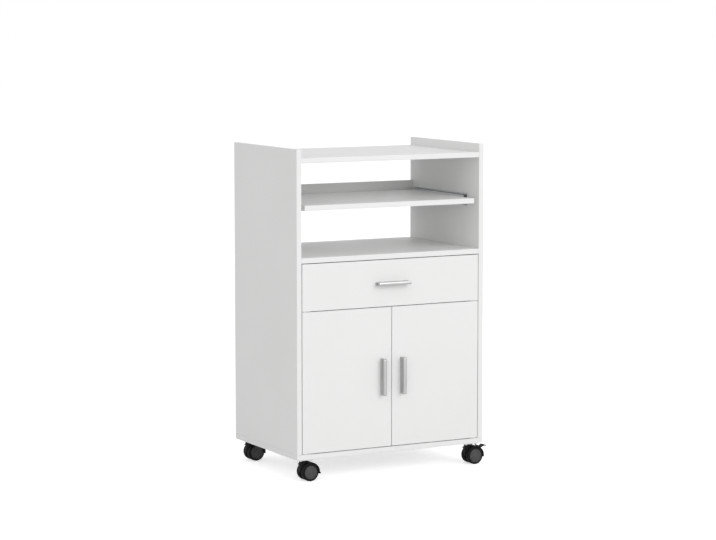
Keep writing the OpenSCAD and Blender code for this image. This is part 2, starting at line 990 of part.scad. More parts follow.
// The back stands on the bottom, which slides in under it
module drawer_back() {
  color(white) on_floor()
    block([-drawer_inner_x, drawer_back_y, drawer_bottom_z + drawer_bottom_t],
      [drawer_inner_x, drawer_back_y + drawer_side_t, drawer_low + drawer_side_h]);
}

module drawer_bottom() {
  color(hardboard) on_floor()
    block([-drawer_inner_x - drawer_groove + hole_end, board_t - drawer_groove + hole_end, drawer_bottom_z],
      [drawer_inner_x + drawer_groove - hole_end, drawer_back_y + drawer_side_t,
        drawer_bottom_z + drawer_bottom_t]);
}

module drawer_handle() {
  color(silver) on_floor() translate([0, 0, drawer_handle_z]) pull_handle();
}

module drawer_screws() {
  color(zinc) on_floor() {
    translate([0, 0, drawer_handle_z]) pull_screws();
    both_sides() runner_screws(drawer_slide_inset, drawer_slide_z);
  }
}

// ---------- pull-out shelf ----------

module pull_out_shelf() {
  color(white) on_floor()
    difference() {
      block([-carried_w / 2, shelf_inset, shelf_low], [carried_w / 2, shelf_inset + shelf_d, shelf_top]);
      both_sides() runner_screw_holes(shelf_slide_inset, shelf_mid);
    }
}

module shelf_screws() {
  color(zinc) on_floor() both_sides() runner_screws(shelf_slide_inset, shelf_mid);
}

// ---------- casters ----------
// Drawn with the swivel axis on X = Y = 0; all four trail to the right.

module at_caster(i) {
  side = caster_at[i][0];
  back = caster_at[i][1];
  translate([side * (half_w - caster_inset_x),
    back > 0 ? cabinet_d - caster_inset_y : caster_inset_y, 0])
    children();
}

module caster_screw_rods(grow) {
  for (x = [-plate_hole, plate_hole], y = [-plate_hole, plate_hole])
    rod_z(x, y, base_z - plate_t, caster_screw_r + grow, plate_t + caster_screw_l);
}

// Mounting plate with its ball race and riveted kingpin
module caster_plate() {
  difference() {
    union() {
      block([-plate_side / 2, -plate_side / 2, base_z - plate_t],
        [plate_side / 2, plate_side / 2, base_z]);
      rod_z(0, 0, base_z - plate_t - race_t, race_r, race_t);
      rod_z(0, 0, boss_top - kingpin_l, kingpin_r, kingpin_l + race_t);
    }
    caster_screw_rods(fit);
  }
}

module caster_plates() {
  color(zinc) on_floor()
    for (i = [0:3])
      at_caster(i) caster_plate();
}

module caster_screws() {
  caster_screw_rods(0);
  for (x = [-plate_hole, plate_hole], y = [-plate_hole, plate_hole])
    rod_z(x, y, base_z - plate_t - caster_head_h, caster_head_r, caster_head_h);
}

// A wedge seen from the front, between two angles round the wheel axle
module wedge(a0, a1, r) {
  polygon([[0, 0], for (i = [0:4]) r * [cos(a0 + (a1 - a0) * i / 4), sin(a0 + (a1 - a0) * i / 4)]]);
}

// Puts a front view, X right and Y up from the wheel axle, in place with thickness w
module around_axle(w) {
  translate([trail, w / 2, axle_z])
    rotate([90, 0, 0]) linear_extrude(w) children();
}

module hood_front_view(lip) {
  intersection() {
    circle(r = guard_out);
    wedge(guard_back, guard_front, 2 * guard_out);
  }
  if (lip)
    intersection() {
      circle(r = guard_lip);
      wedge(guard_back, guard_back + guard_lip_a, 2 * guard_out);
    }
}

// Hood: the guard over both wheels, the core between them and the swivel boss.
// A braked hood has a slot for its lever in place of the lip at the guard's front end.
module hood(braked) {
  difference() {
    union() {
      around_axle(hood_w) hood_front_view(!braked);
      around_axle(core_t) circle(r = hub_r);
      rod_z(0, 0, axle_z, boss_r, boss_top - axle_z);
    }
    for (y = [-hood_w / 2 - 1, core_t / 2])
      rod_y(trail, y, axle_z, guard_in, hood_w / 2 - core_t / 2 + 1);
    rod_z(0, 0, boss_top - kingpin_l - hole_end, kingpin_r + fit, kingpin_l + 2);
    rod_y(trail, -hood_w, axle_z, axle_r + seat, 2 * hood_w);
    if (braked)
      around_axle(lever_slot)
        difference() {
          wedge(lever_out_a - lever_slot_low_a, lever_in_a + lever_slot_high_a, 2 * guard_out);
          circle(r = hub_r + lever_slot_web);
        }
  }
  if (braked)
    rod_y(trail + lever_pivot[0], -core_t / 2, axle_z + lever_pivot[1], lever_pin_r, core_t);
}

module axle() {
  rod_y(trail, -wheel_in - wheel_bore_l + hole_end, axle_z, axle_r,
    2 * (wheel_in + wheel_bore_l - hole_end));
}

// Half a wheel's section: X is the radius, Y runs from its inner to its outer face
module wheel_section() {
  difference() {
    union() {
      square([wheel_r - wheel_edge, wheel_w]);
      translate([0, wheel_edge]) square([wheel_r, wheel_w - 2 * wheel_edge]);
      for (y = [wheel_edge, wheel_w - wheel_edge])
        translate([wheel_r - wheel_edge, y]) circle(r = wheel_edge);
    }
    translate([-wheel_r, -1]) square([wheel_r + axle_r + fit, wheel_bore_l + 1]);
    translate([-1, wheel_w - disc_step]) square([disc_r + 1, disc_step + 1]);
    translate([-2 * wheel_r, -1]) square([2 * wheel_r, wheel_w + 2]);
  }
  translate([0, wheel_w - disc_step]) square([disc_r - disc_step, disc_step]);
}

// out is -1 for the front wheel of a pair and 1 for the rear one
module wheel(out) {
  translate([trail, out * wheel_in, axle_z])
    rotate([-90 * out, 0, 0])
      rotate_extrude($fn = 96) wheel_section();
}

// Brake lever: an eye on its pin, a tongue through the guard and a foot blade above it
module brake_lever() {
  difference() {
    union() {
      around_axle(lever_tongue) {
        translate(lever_pivot) circle(r = lever_eye_r);
        lever_tongue_view();
      }
      around_axle(lever_w) lever_blade_view();
    }
    rod_y(trail + lever_pivot[0], -lever_tongue, axle_z + lever_pivot[1], lever_pin_r + fit,
      2 * lever_tongue);
  }
}

module lever_tongue_view() {
  polygon([
    lever_pivot + [-3, 2],
    (lever_low + 1) * [cos(lever_in_a - 4), sin(lever_in_a - 4)],
    (lever_low + 1) * [cos(lever_out_a + 2), sin(lever_out_a + 2)],
    lever_pivot + [3, -1]
  ]);
}

module lever_blade_view() {
  polygon([
    for (a = lever_arc) lever_low * [cos(a), sin(a)],
    lever_rise + [0, -lever_t],
    [lever_reach, lever_tip_z - lever_t / 2],
    [lever_reach, lever_tip_z],
    lever_rise,
    for (i = [len_arc():-1:0]) (lever_low + lever_t) * [cos(arc_at(i)), sin(arc_at(i))]
  ]);
}

function arc_at(i) = lever_in_a - 4 * i;
function len_arc() = (lever_in_a - lever_out_a) / 4;

module caster_hood(i, braked) {
  color(black) on_floor() at_caster(i) hood(braked);
}

module caster_axle(i) {
  color(steel) on_floor() at_caster(i) axle();
}

module caster_wheel(i, out) {
  color(dark_grey) on_floor() at_caster(i) wheel(out);
}

module caster_lever(i) {
  color(black) on_floor() at_caster(i) brake_lever();
}

// The outer wheel of a pair is the one nearer the cabinet's front or back edge
module front_left_hood() { caster_hood(0, false); }
module front_left_axle() { caster_axle(0); }
module front_left_outer_wheel() { caster_wheel(0, -1); }
module front_left_inner_wheel() { caster_wheel(0, 1); }
module front_right_hood() { caster_hood(1, true); }
module front_right_axle() { caster_axle(1); }
module front_right_outer_wheel() { caster_wheel(1, -1); }
module front_right_inner_wheel() { caster_wheel(1, 1); }
module rear_left_hood() { caster_hood(2, true); }
module rear_left_axle() { caster_axle(2); }
module rear_left_outer_wheel() { caster_wheel(2, 1); }
module rear_left_inner_wheel() { caster_wheel(2, -1); }
module rear_right_hood() { caster_hood(3, false); }
module rear_right_axle() { caster_axle(3); }
module rear_right_outer_wheel() { caster_wheel(3, 1); }
module rear_right_inner_wheel() { caster_wheel(3, -1); }
module front_right_brake_lever() { caster_lever(1); }
module rear_left_brake_lever() { caster_lever(2); }

left_side_panel();
right_side_panel();
top_board();
niche_floor_board();
bottom_board();
divider_rail();
rear_rail();
back_panel();
cupboard_shelf();
shelf_pins();
dowels();
cam_fittings();
base_screws();
shelf_slide_rails();
drawer_slide_rails();
hardware_screws();
hinge_plates();
magnetic_catch();
caster_plates();
left_door();
left_door_handle();
left_handle_screws();
left_hinge_bushes();
left_strike_plate();
right_door();
right_door_handle();
right_handle_screws();
right_hinge_bushes();
right_strike_plate();
drawer_front();
drawer_left_side();
drawer_right_side();
drawer_back();
drawer_bottom();
drawer_handle();
drawer_screws();
drawer_slide_runners();
drawer_ball_cages();
pull_out_shelf();
shelf_slide_runners();
shelf_screws();
shelf_ball_cages();
front_left_hood();
front_left_axle();
front_left_outer_wheel();
front_left_inner_wheel();
front_right_hood();
front_right_axle();
front_right_outer_wheel();
front_right_inner_wheel();
rear_left_hood();
rear_left_axle();
rear_left_outer_wheel();
rear_left_inner_wheel();
rear_right_hood();
rear_right_axle();
rear_right_outer_wheel();
rear_right_inner_wheel();
front_right_brake_lever();
rear_left_brake_lever();
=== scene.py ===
# %% [markdown]
# # A white kitchen cart
#
# The real object is a cabinet of white coated boards on four twin-wheel casters. Its top half is an
# open niche with a pull-out shelf, and below it are a drawer and two doors with silver handles. The
# solids are already made and move on their joints, so this script is about looks: it gives every
# board, metal part and caster its finish, and makes the pieces whose softness the solids leave out,
# such as the rounded fronts, the handles and the wheels.

import json
from math import pi, radians

import bmesh
import bpy
import numpy as np
from mathutils import Matrix, Vector


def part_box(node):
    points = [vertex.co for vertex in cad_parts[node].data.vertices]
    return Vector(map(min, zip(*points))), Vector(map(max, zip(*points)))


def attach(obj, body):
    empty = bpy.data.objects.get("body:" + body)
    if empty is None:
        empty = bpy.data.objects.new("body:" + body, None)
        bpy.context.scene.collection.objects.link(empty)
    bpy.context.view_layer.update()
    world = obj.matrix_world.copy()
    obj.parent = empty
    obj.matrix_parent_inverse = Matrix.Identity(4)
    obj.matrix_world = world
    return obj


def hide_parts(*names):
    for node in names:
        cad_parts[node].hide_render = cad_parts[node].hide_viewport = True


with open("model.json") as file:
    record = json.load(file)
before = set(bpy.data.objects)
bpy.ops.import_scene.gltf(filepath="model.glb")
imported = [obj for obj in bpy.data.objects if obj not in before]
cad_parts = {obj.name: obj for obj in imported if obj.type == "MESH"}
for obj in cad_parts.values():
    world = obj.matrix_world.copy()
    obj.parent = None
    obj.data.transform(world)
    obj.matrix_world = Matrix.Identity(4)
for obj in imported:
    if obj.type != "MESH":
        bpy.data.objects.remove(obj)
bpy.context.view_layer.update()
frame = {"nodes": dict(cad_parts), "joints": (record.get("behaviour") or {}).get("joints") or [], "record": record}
nodes = frame["nodes"]
joints = {joint["name"]: joint for joint in frame["joints"]}
slot_of = {part["node"]: part["material_slot"] for part in frame["record"]["subparts"]}
MM = 0.001
CORNERS = ("front_left", "front_right", "rear_left", "rear_right")
BRAKED_CORNERS = ("front_right", "rear_left")

# %% [markdown]
# ## The camera
#
# The photograph was taken from the front left, a little above the cart, with a long lens. A camera
# can be set by eye, but the cabinet's straight edges say where it stood: its place, its two angles
# and its lens were worked out from them, so the edges of the render fall where those of the
# photograph do.

# %% Camera
CAMERA_AT = (-3.3086, -6.12359, 1.33909)
CAMERA_YAW = 0.4928919754
CAMERA_PITCH = 0.1110545873
LENS_MM = 121.93
SENSOR_MM = 36


def aim_camera(place, yaw, pitch, lens):
    """A camera that looks along (sin yaw cos pitch, cos yaw cos pitch, -sin pitch), no roll."""
    forward = Vector((np.sin(yaw) * np.cos(pitch), np.cos(yaw) * np.cos(pitch), -np.sin(pitch)))
    right = Vector((np.cos(yaw), -np.sin(yaw), 0))
    turn = Matrix((right, right.cross(forward), -forward)).transposed()
    data = bpy.data.cameras.new("camera")
    data.lens = lens
    data.sensor_width = SENSOR_MM
    camera = bpy.data.objects.new("camera", data)
    camera.matrix_world = Matrix.Translation(place) @ turn.to_4x4()
    bpy.context.scene.collection.objects.link(camera)
    bpy.context.scene.camera = camera


aim_camera(CAMERA_AT, CAMERA_YAW, CAMERA_PITCH, LENS_MM)
print("camera at", CAMERA_AT)

# %% [markdown]
# ## Surfaces from numbers
#
# Most new pieces are a grid of points: one parameter runs along the piece and the other round it.
# numpy works out the whole grid at once, and neighbouring points become faces. A row whose points
# all fall together is a pole, so the helper merges doubles afterwards. The sign of the enclosed
# volume tells whether the faces point outwards.

# %% Grid of points to mesh
SAME_POINT = 0.001 * MM
SMOOTH_ANGLE = 35.0


def grid_faces(rows, columns, first=0):
    """Quads between neighbours of a grid whose columns close into a ring."""
    row, column = np.meshgrid(np.arange(rows - 1), np.arange(columns), indexing="ij")
    after = (column + 1) % columns
    quads = np.stack([row * columns + column, row * columns + after,
                      (row + 1) * columns + after, (row + 1) * columns + column], axis=-1)
    return quads.reshape(-1, 4) + first


def enclosed_volume(points, quads):
    """A sixth of the sum of a . (b x c) over the two triangles of each quad."""
    a, b, c, d = (points[quads[:, i]] for i in range(4))
    cones = np.einsum("ij,ij->i", a, np.cross(b, c)) + np.einsum("ij,ij->i", a, np.cross(c, d))
    return cones.sum() / 6


def make_piece(name, points, quads, smooth_angle=SMOOTH_ANGLE):
    """A mesh object at the origin from points in metres and quads, with its doubles merged."""
    points = np.asarray(points, float).reshape(-1, 3)
    if enclosed_volume(points, quads) < 0:
        quads = quads[:, ::-1]
    mesh = bpy.data.meshes.new(name)
    mesh.from_pydata(points.tolist(), [], quads.tolist())
    build = bmesh.new()
    build.from_mesh(mesh)
    bmesh.ops.remove_doubles(build, verts=build.verts, dist=SAME_POINT)
    bmesh.ops.dissolve_degenerate(build, edges=build.edges, dist=SAME_POINT)
    build.to_mesh(mesh)
    build.free()
    mesh.shade_smooth()
    mesh.set_sharp_from_angle(angle=radians(smooth_angle))
    piece = bpy.data.objects.new(name, mesh)
    bpy.context.scene.collection.objects.link(piece)
    return piece


def closed_tube(name, rings, smooth_angle):
    """A surface through rings of points (rows, columns, 3), each end drawn in to its middle."""
    columns = rings.shape[1]
    start = np.repeat(rings[:1].mean(axis=1, keepdims=True), columns, axis=1)
    end = np.repeat(rings[-1:].mean(axis=1, keepdims=True), columns, axis=1)
    rings = np.concatenate([start, rings, end])
    return make_piece(name, rings, grid_faces(len(rings), columns), smooth_angle)


# %% [markdown]
# ## Shader groups that several finishes share
#
# Coated board, plastic and metal all catch a little light along their edges, and all have a fine
# texture that only shows close up. Each such effect is one node group with its own inputs, built
# once and placed in each material with that material's values. The groups put out masks, heights
# and normals only, and the Principled shader stays in the material.

# %% Node helpers
NOISE_RANGE = (0.3, 0.7)
DRIFT_RANGE = (0.3, 0.75)


def new_group(name, inputs, outputs):
    """An empty shader group: float inputs (name: default) and outputs (name: socket type)."""
    tree = bpy.data.node_groups.new(name, "ShaderNodeTree")
    for label, value in inputs.items():
        socket = tree.interface.new_socket(label, in_out="INPUT", socket_type="NodeSocketFloat")
        socket.default_value = value
    for label, kind in outputs.items():
        tree.interface.new_socket(label, in_out="OUTPUT", socket_type=kind)
    return tree, tree.nodes.new("NodeGroupInput"), tree.nodes.new("NodeGroupOutput")


def fill(tree, node, **inputs):
    """The node with its inputs filled: a socket is linked, and anything else is set as a value.

    An input goes by its label, or by i and its number.
    """
    for key, value in inputs.items():
        numbered = key[0] == "i" and key[1:].isdigit()
        socket = node.inputs[int(key[1:]) if numbered else key.replace("_", " ")]
        if isinstance(value, bpy.types.NodeSocket):
            tree.links.new(value, socket)
        else:
            socket.default_value = value
    return node


def add(tree, kind, settings=None, **inputs):
    """A new node of that kind, with its settings and its inputs."""
    node = tree.nodes.new(kind)
    for key, value in (settings or {}).items():
        setattr(node, key, value)
    return fill(tree, node, **inputs)


def maths(tree, operation, *values):
    """A Math node's result."""
    numbered = {f"i{k}": value for k, value in enumerate(values)}
    return add(tree, "ShaderNodeMath", {"operation": operation}, **numbered).outputs[0]


def blend(tree, factor, first, second):
    """A colour that goes from first to second as factor goes from 0 to 1."""
    mix = add(tree, "ShaderNodeMix", {"data_type": "RGBA"}, i0=factor, i6=first, i7=second)
    return mix.outputs[2]


def spread(tree, value, low, high, to_low=0.0, to_high=1.0):
    """Value's stretch from low to high, laid over to_low to to_high."""
    return add(tree, "ShaderNodeMapRange", Value=value, From_Min=low, From_Max=high,
               To_Min=to_low, To_Max=to_high).outputs[0]


def noise(tree, scale, detail=3.0, rough=0.55, at=None):
    """Fractal noise on Object coordinates, or at the given place."""
    place = at or tree.nodes.new("ShaderNodeTexCoord").outputs["Object"]
    return add(tree, "ShaderNodeTexNoise", Vector=place, Scale=scale, Detail=detail,
               Roughness=rough).outputs[0]


# %% Shared groups


def make_edge_group():
    """Normal is the surface's own, rounded over Radius; Mask is 1 where the two part, in patches.

    Mask is (flat cosine - cosine between both normals) / (flat cosine - bent cosine) * noise.
    """
    tree, given, out = new_group("rounded_edges", {"Radius": 0.6 * MM, "Breakup": 60.0},
                                 {"Mask": "NodeSocketFloat", "Normal": "NodeSocketVector"})
    flat_cosine, bent_cosine = 0.995, 0.85
    bevel = add(tree, "ShaderNodeBevel", {"samples": 4}, Radius=given.outputs["Radius"])
    flat = tree.nodes.new("ShaderNodeNewGeometry").outputs["True Normal"]
    alike = add(tree, "ShaderNodeVectorMath", {"operation": "DOT_PRODUCT"},
                i0=bevel.outputs[0], i1=flat)
    bend = spread(tree, alike.outputs["Value"], flat_cosine, bent_cosine)
    broken = spread(tree, noise(tree, given.outputs["Breakup"], 4.0), 0.42, 0.62)
    fill(tree, out, Mask=maths(tree, "MULTIPLY", bend, broken), Normal=bevel.outputs[0])
    return tree


def make_texture_group():
    """Height is noise in small pebbles; Cloud is slow noise for the tone and the gloss."""
    tree, given, out = new_group("moulded_texture", {"Scale": 900.0, "Cloud Scale": 5.0},
                                 {"Height": "NodeSocketFloat", "Cloud": "NodeSocketFloat"})
    fill(tree, out, Height=noise(tree, given.outputs["Scale"], 2.0),
         Cloud=noise(tree, given.outputs["Cloud Scale"], 4.0))
    return tree


def make_dust_group():
    """Mask is the share of the surface that faces up, times patchy noise, times Amount."""
    tree, given, out = new_group("settled_dust", {"Amount": 0.2, "Scale": 140.0},
                                 {"Mask": "NodeSocketFloat"})
    normal = tree.nodes.new("ShaderNodeNewGeometry").outputs["Normal"]
    up = add(tree, "ShaderNodeSeparateXYZ", Vector=normal).outputs[2]
    facing = spread(tree, up, 0.1, 1.0)
    patches = spread(tree, noise(tree, given.outputs["Scale"], 5.0), 0.35, 0.7)
    lying = maths(tree, "MULTIPLY", facing, patches)
    fill(tree, out, Mask=maths(tree, "MULTIPLY", lying, given.outputs["Amount"]))
    return tree


def make_brush_group():
    """Height is noise drawn out along one direction: each Scale says how fast it changes there."""
    tree, given, out = new_group("drawn_lines",
                                 {"X Scale": 100.0, "Y Scale": 2000.0, "Z Scale": 2000.0},
                                 {"Height": "NodeSocketFloat"})
    stretch = add(tree, "ShaderNodeCombineXYZ",
                  i0=given.outputs[0], i1=given.outputs[1], i2=given.outputs[2])
    place = tree.nodes.new("ShaderNodeTexCoord").outputs["Object"]
    drawn = add(tree, "ShaderNodeVectorMath", {"operation": "MULTIPLY"},
                i0=place, i1=stretch.outputs[0])
    fill(tree, out, Height=noise(tree, 1.0, 3.0, 0.6, at=drawn.outputs[0]))
    return tree


edge_group = make_edge_group()
texture_group = make_texture_group()
dust_group = make_dust_group()
brush_group = make_brush_group()


def place_group(tree, group, **inputs):
    """The group as a node of this material, with its inputs set."""
    return add(tree, "ShaderNodeGroup", {"node_tree": group}, **inputs)


def bump(tree, height, strength, distance, **normal):
    """The normal, or the given Normal, pushed about by a height over a distance in metres."""
    return add(tree, "ShaderNodeBump", Height=height, Strength=strength, Distance=distance,
               **normal).outputs[0]


def new_material(name):
    """A material with its tree and its Principled shader."""
    material = bpy.data.materials.new(name)
    material.use_nodes = True
    return material, material.node_tree, material.node_tree.nodes["Principled BSDF"]


def shade_of(colour, factor, lift=0.0):
    """factor * channel + lift for each channel, at most 1, and an alpha of 1."""
    return tuple(min(1.0, factor * channel + lift) for channel in colour[:3]) + (1.0,)


# %% [markdown]
# ## White coated board
#
# The boards are chipboard with a satin melamine skin. It isn't a mirror and isn't chalk: a fine
# pebble breaks the gloss, and the tone drifts a little from place to place. A band of about half a
# millimetre along the edges is slightly greyer, where hands and cloths pass. An image could show
# that, but noise on Object coordinates has no seams and keeps its true size on every board.

# %% Board materials


def coated_board(name, white, shade, pebble, gloss):
    """A satin coating: white drifts towards shade, with gloss in the middle of its roughness."""
    material, tree, skin = new_material(name)
    texture = place_group(tree, texture_group, Scale=pebble, Cloud_Scale=3.5)
    edges = place_group(tree, edge_group, Radius=0.6 * MM, Breakup=35.0)
    cloud = texture.outputs["Cloud"]
    drift = blend(tree, spread(tree, cloud, *DRIFT_RANGE), white, shade)
    touched = maths(tree, "MULTIPLY", edges.outputs["Mask"], 0.35)
    fill(tree, skin,
         Base_Color=blend(tree, touched, drift, shade_of(shade, 0.86)),
         Roughness=spread(tree, cloud, *NOISE_RANGE, gloss - 0.05, gloss + 0.06),
         Normal=bump(tree, texture.outputs["Height"], 0.16, 0.05 * MM,
                     Normal=edges.outputs["Normal"]),
         Specular_IOR_Level=0.42)
    return material


white_laminate = coated_board("white_laminate", white=(0.865, 0.865, 0.86, 1),
                              shade=(0.845, 0.845, 0.838, 1), pebble=1400.0, gloss=0.42)
white_hardboard = coated_board("white_hardboard", white=(0.82, 0.815, 0.8, 1),
                               shade=(0.79, 0.785, 0.77, 1), pebble=2600.0, gloss=0.55)

# %% [markdown]
# ## Metals
#
# The handles are satin silver: plated, then brushed along their length, so highlights run across
# the brushing. Slides, plates and screws are zinc plated, which leaves a bluish sheen in small
# crystals. Balls and axles are polished. Metallic is 1 on all of them, and the difference is only
# in roughness and in the fine height.

# %% Metal materials
SILVER = (0.54, 0.545, 0.54, 1)
WORN_SILVER = (0.66, 0.66, 0.65, 1)
STEEL = (0.78, 0.785, 0.79, 1)
WORN_STEEL = (0.88, 0.88, 0.88, 1)
PALE_ZINC = (0.66, 0.67, 0.68, 1)
BLUE_ZINC = (0.56, 0.575, 0.59, 1)
WORN_ZINC = (0.8, 0.8, 0.8, 1)
ALONG, ACROSS = 120.0, 2600.0


def brushed_metal(name, tone, rough, lines, worn):
    """A brushed metal: lines are the brushing's three scales, and edges turn towards worn."""
    material, tree, skin = new_material(name)
    brush = place_group(tree, brush_group, X_Scale=lines[0], Y_Scale=lines[1], Z_Scale=lines[2])
    texture = place_group(tree, texture_group, Scale=420.0, Cloud_Scale=22.0)
    edges = place_group(tree, edge_group, Radius=0.4 * MM, Breakup=90.0)
    cloud = spread(tree, texture.outputs["Cloud"], *DRIFT_RANGE)
    drift = blend(tree, cloud, tone, shade_of(tone, 0.9))
    rubbed = maths(tree, "MULTIPLY", edges.outputs["Mask"], 0.6)
    fill(tree, skin,
         Base_Color=blend(tree, rubbed, drift, worn),
         Metallic=1.0,
         Roughness=spread(tree, brush.outputs[0], *NOISE_RANGE, rough - 0.06, rough + 0.08),
         Normal=bump(tree, brush.outputs[0], 0.12, 0.04 * MM, Normal=edges.outputs["Normal"]))
    return material


def zinc_plate(name):
    """Zinc plating: crystals are cells of a Voronoi pattern, each of its own tone and gloss."""
    material, tree, skin = new_material(name)
    place = tree.nodes.new("ShaderNodeTexCoord").outputs["Object"]
    cells = add(tree, "ShaderNodeTexVoronoi", Vector=place, Scale=320.0)
    grey = add(tree, "ShaderNodeSeparateColor", Color=cells.outputs["Color"]).outputs[0]
    edges = place_group(tree, edge_group, Radius=0.3 * MM, Breakup=120.0)
    crystals = blend(tree, maths(tree, "MULTIPLY", grey, 0.5), PALE_ZINC, BLUE_ZINC)
    rubbed = maths(tree, "MULTIPLY", edges.outputs["Mask"], 0.4)
    fill(tree, skin,
         Base_Color=blend(tree, rubbed, crystals, WORN_ZINC),
         Metallic=1.0,
         Roughness=spread(tree, grey, 0.0, 1.0, 0.3, 0.42),
         Normal=bump(tree, grey, 0.05, 0.03 * MM, Normal=edges.outputs["Normal"]))
    return material


satin_silver = brushed_metal("satin_silver", SILVER, 0.38, (ALONG, ACROSS, ACROSS), WORN_SILVER)
upright_silver = brushed_metal("satin_silver_upright", SILVER, 0.38, (ACROSS, ACROSS, ALONG),
                               WORN_SILVER)
bright_steel = brushed_metal("bright_steel", STEEL, 0.16, (900.0, 900.0, 900.0), WORN_STEEL)
zinc_steel = zinc_plate("zinc_steel")

# %% [markdown]
# ## Plastics and wood
#
# Hoods and brake levers are black polypropylene with a spark-eroded grain. The wheels' discs are a
# dark grey, a shade lighter, and their treads pick up dust. Bushes and the catch are white nylon,
# which is slightly see-through, so a touch of subsurface light softens it. The dowels are birch,
# with grain along their length.

# %% Plastic and wood materials
DUST = (0.3, 0.29, 0.27, 1)
PALE_BIRCH = (0.72, 0.56, 0.36, 1)
DARK_BIRCH = (0.6, 0.43, 0.25, 1)


def grained_plastic(name, tone, rough, grain, dusty, sheen=0.5, depth=0.0):
    """Moulded plastic: grain is the texture's scale, and dust settles on what faces up."""
    material, tree, skin = new_material(name)
    texture = place_group(tree, texture_group, Scale=grain, Cloud_Scale=40.0)
    edges = place_group(tree, edge_group, Radius=0.5 * MM, Breakup=150.0)
    dust = place_group(tree, dust_group, Amount=dusty, Scale=160.0)
    rubbed = maths(tree, "MULTIPLY", edges.outputs["Mask"], 0.6)
    scuffed = blend(tree, rubbed, tone, shade_of(tone, 1.9, 0.012))
    cloud = texture.outputs["Cloud"]
    fill(tree, skin,
         Base_Color=blend(tree, dust.outputs[0], scuffed, DUST),
         Roughness=spread(tree, cloud, *NOISE_RANGE, rough - 0.06, rough + 0.08),
         Normal=bump(tree, texture.outputs["Height"], 0.25, 0.06 * MM,
                     Normal=edges.outputs["Normal"]),
         Specular_IOR_Level=sheen,
         Subsurface_Weight=depth)
    return material


def birch_wood(name):
    """Grain as rings of distance from an axis along X, pulled out of round by noise."""
    material, tree, skin = new_material(name)
    place = tree.nodes.new("ShaderNodeTexCoord").outputs["Object"]
    squeezed = add(tree, "ShaderNodeMapping", Vector=place, Scale=(0.06, 1.0, 1.0)).outputs[0]
    rings = add(tree, "ShaderNodeTexWave", {"bands_direction": "Z"}, Vector=squeezed,
                Scale=380.0, Distortion=3.0, Detail=3.0).outputs[1]
    fill(tree, skin, Base_Color=blend(tree, rings, PALE_BIRCH, DARK_BIRCH),
         Normal=bump(tree, rings, 0.2, 0.1 * MM), Roughness=0.62)
    return material


black_plastic = grained_plastic("black_plastic", (0.004, 0.004, 0.0042, 1), rough=0.46,
                                grain=1800.0, dusty=0.02, sheen=0.16)
dark_grey_disc = grained_plastic("dark_grey_disc", (0.05, 0.05, 0.051, 1), rough=0.45,
                                 grain=1500.0, dusty=0.05)
black_tread = grained_plastic("black_tread", (0.005, 0.005, 0.005, 1), rough=0.6,
                              grain=700.0, dusty=0.05, sheen=0.16)
white_nylon = grained_plastic("white_nylon", (0.8, 0.79, 0.76, 1), rough=0.45,
                              grain=1600.0, dusty=0.0, depth=0.08)
birch = birch_wood("birch")

# %% [markdown]
# ## Finishes on the solids
#
# The record names a material slot for every solid. Each slot has one material here, so the solids
# are painted in one loop, and a piece that stands for a solid takes the same one, apart from the
# upright handles and the tyres, which need their own.

# %% Paint the solids
finish_of_slot = {
    "white_laminate": white_laminate,
    "white_hardboard": white_hardboard,
    "satin_silver": satin_silver,
    "zinc_steel": zinc_steel,
    "bright_steel": bright_steel,
    "birch": birch,
    "black_plastic": black_plastic,
    "dark_grey_tread": dark_grey_disc,
    "white_nylon": white_nylon,
}


def paint(thing, material):
    """One material over the whole mesh."""
    thing.data.materials.clear()
    thing.data.materials.append(material)


for name, solid in nodes.items():
    paint(solid, finish_of_slot[slot_of[name]])


def dress(piece, material, body, slot, *solids):
    """Paints a new piece, lets it ride on its body and hides the solids it stands for."""
    paint(piece, material)
    if solids:
        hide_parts(*solids)
    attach(piece, body)


print(len(nodes), "solids painted")

# %% [markdown]
# ## Flat faces that stay flat
#
# Smooth shading averages the normals of all faces at a corner. On a board that tilts the normals of
# a large flat face towards the tiny roundings beside it, and the face then looks pillowed. Weighing
# each face by its area settles it: the flat face keeps its own normal, and the roundings turn
# towards it.

# %% Normals weighed by area
SETTLE_ANGLE = 50.0


def settle_normals(mesh):
    """At each corner of a face: the sum of area * normal over the vertex's faces near in angle.

    Sorted by vertex, the corners of one vertex stand side by side. So each pass adds to every
    corner the one that stands a step further on, where it has the same vertex, and the other way.
    """
    count, corners = len(mesh.polygons), len(mesh.loops)
    vertex, sides = np.empty(corners, int), np.empty(count, int)
    normal, area = np.empty(count * 3), np.empty(count)
    mesh.loops.foreach_get("vertex_index", vertex)
    mesh.polygons.foreach_get("loop_total", sides)
    mesh.polygons.foreach_get("normal", normal)
    mesh.polygons.foreach_get("area", area)
    order = np.argsort(vertex, kind="stable")
    vertex, face = vertex[order], np.repeat(np.arange(count), sides)[order]
    normal, area = normal.reshape(-1, 3)[face], area[face, None]
    settled = normal * area
    for step in range(1, np.bincount(vertex).max()):
        cosine = np.einsum("ij,ij->i", normal[step:], normal[:-step])
        alike = cosine > np.cos(radians(SETTLE_ANGLE))
        near = (alike & (vertex[step:] == vertex[:-step]))[:, None]
        settled[step:] += near * (normal * area)[:-step]
        settled[:-step] += near * (normal * area)[step:]
    settled[order] = settled / np.linalg.norm(settled, axis=1, keepdims=True)
    mesh.normals_split_custom_set(settled.tolist())


# %% [markdown]
# ## Fronts with rounded edges
#
# Doors, drawer front and shelves are edge banded, and the banding is trimmed to a small radius that
# catches a thin line of light. A box with a bevel would do, but a neater way is to take a small
# sphere, cut it into its eight octants and pull them apart to the corners of the board: the quads
# between them become the rounded edges and the flat faces.

# %% Rounded boards
BAND_RADIUS = 0.8 * MM
BAND_STEPS = 4
NO_SHARP_EDGES = 89


